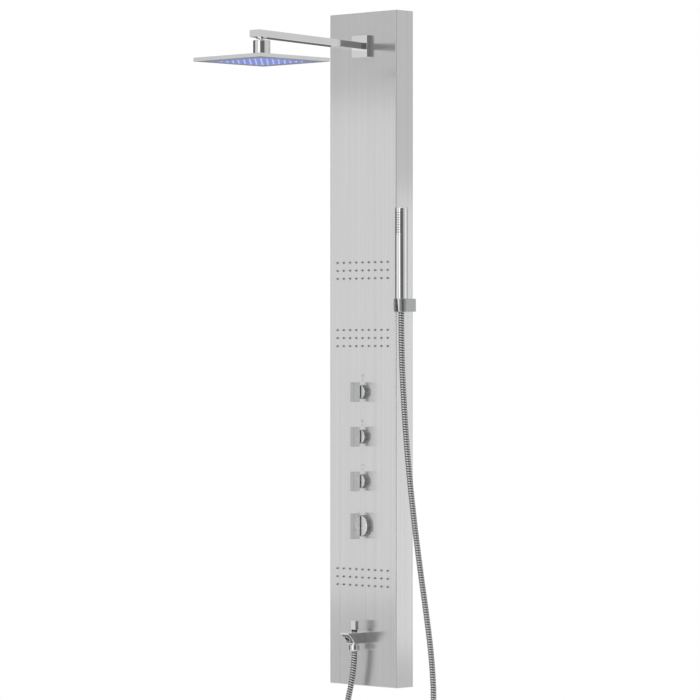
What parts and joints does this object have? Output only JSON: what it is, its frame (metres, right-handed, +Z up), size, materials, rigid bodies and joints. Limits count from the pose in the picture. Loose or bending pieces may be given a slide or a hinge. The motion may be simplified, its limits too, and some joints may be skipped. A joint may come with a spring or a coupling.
{
  "type": "rainfall shower column",
  "caption": "Wall-hung shower panel of folded steel with a square rain head on an arm, fields of body jets, blade-handled valves, a bath spout with diverter and a stick handset on a hose.",
  "frame": {"origin": "on the wall plane, at the middle of the four wall screws of the two hanging brackets, which is also the middle of the panel's back", "axes": "+X to the user's right, +Y into the wall, +Z up; the panel's front faces -Y"},
  "size_m": [0.3304, 0.4545, 1.6965],
  "materials": {
    "panel_steel": "brushed",
    "bracket_steel": "mill finish",
    "fixing_steel": "plain",
    "chrome": "polished",
    "hose_steel": "polished, wound strip",
    "head_border": "brushed",
    "lit_plate": "translucent, lit from behind",
    "board": "satin",
    "soft_grey": "matt silicone",
    "black_rubber": "matt",
    "white_plastic": "satin",
    "tube_plastic": "satin",
    "brass": "machined"
  },
  "bodies": {
    "column": {"panel_shell": "panel_steel", "hook_rails": "bracket_steel", "wall_brackets": "bracket_steel", "box_nuts": "fixing_steel", "bracket_screws": "fixing_steel", "shower_arm": "chrome", "arm_flange": "chrome", "swivel_ball": "chrome", "stop_1_rosette": "chrome", "stop_2_rosette": "chrome", "stop_3_rosette": "chrome", "mixer_rosette": "chrome", "spout_body": "chrome", "hose_nut": "chrome", "handset_bracket": "chrome", "hose": "hose_steel", "jet_mat_1": "soft_grey", "jet_mat_2": "soft_grey", "jet_mat_3": "soft_grey", "back_washers": "black_rubber", "aerator": "black_rubber", "jet_box_1": "white_plastic", "jet_box_2": "white_plastic", "jet_box_3": "white_plastic", "rain_tube": "tube_plastic", "jet_tube_upper": "tube_plastic", "jet_tube_link": "tube_plastic", "jet_tube_lower": "tube_plastic", "spout_tube": "tube_plastic", "valve_body": "brass", "arm_elbow": "brass", "spout_elbow": "brass", "back_nuts": "brass", "lock_nuts": "brass", "diverter_bush": "brass", "stop_1_cartridge": "brass", "stop_2_cartridge": "brass", "stop_3_cartridge": "brass", "mixer_cartridge": "brass"},
    "head_swivel": {"ball_retainer": "white_plastic"},
    "head_tilt": {"ball_seat": "white_plastic"},
    "rain_head": {"swivel_nut": "chrome", "head_shell": "chrome", "head_frame": "head_border", "nozzle_plate": "lit_plate", "light_board": "board", "turbine_housing": "white_plastic"},
    "impeller": {"turbine_impeller": "white_plastic"},
    "stop_lever_1": {"stop_1_handle": "chrome"},
    "stop_lever_2": {"stop_2_handle": "chrome"},
    "stop_lever_3": {"stop_3_handle": "chrome"},
    "mixer_lever": {"mixer_handle": "chrome"},
    "diverter": {"diverter_knob": "chrome"},
    "handset": {"handset_body": "chrome", "handset_spray": "soft_grey", "hose_cone": "chrome"}
  },
  "joints": [
    {"name": "head_spin", "type": "hinge", "parent": "column", "child": "head_swivel", "pos_m": [0, -0.353, 0.63555], "axis": [0, 0, 1], "continuous": true},
    {"name": "head_tilt_x", "type": "hinge", "parent": "head_swivel", "child": "head_tilt", "pos_m": [0, -0.353, 0.63555], "axis": [1, 0, 0], "range_deg": [-10, 10]},
    {"name": "head_tilt_y", "type": "hinge", "parent": "head_tilt", "child": "rain_head", "pos_m": [0, -0.353, 0.63555], "axis": [0, 1, 0], "range_deg": [-10, 10]},
    {"name": "turbine_spin", "type": "hinge", "parent": "rain_head", "child": "impeller", "pos_m": [0, -0.353, 0.609], "axis": [0, 0, 1], "continuous": true},
    {"name": "stop_1_turn", "type": "hinge", "parent": "column", "child": "stop_lever_1", "pos_m": [0, -0.0745, -0.0926], "axis": [0, -1, 0], "range_deg": [0, 90]},
    {"name": "stop_2_turn", "type": "hinge", "parent": "column", "child": "stop_lever_2", "pos_m": [0, -0.0745, -0.1886], "axis": [0, -1, 0], "range_deg": [0, 90]},
    {"name": "stop_3_turn", "type": "hinge", "parent": "column", "child": "stop_lever_3", "pos_m": [0, -0.0745, -0.2846], "axis": [0, -1, 0], "range_deg": [0, 90]},
    {"name": "mixer_turn", "type": "hinge", "parent": "column", "child": "mixer_lever", "pos_m": [0, -0.0745, -0.3806], "axis": [0, -1, 0], "range_deg": [-75, 75]},
    {"name": "diverter_lift", "type": "slide", "parent": "column", "child": "diverter", "axis": [0, 0, 1], "range_m": [0, 0.008]},
    {"name": "handset_lift", "type": "slide", "parent": "column", "child": "handset", "axis": [0, 0, 1], "range_m": [0, 0.06], "deforming": ["hose"]}
  ]
}
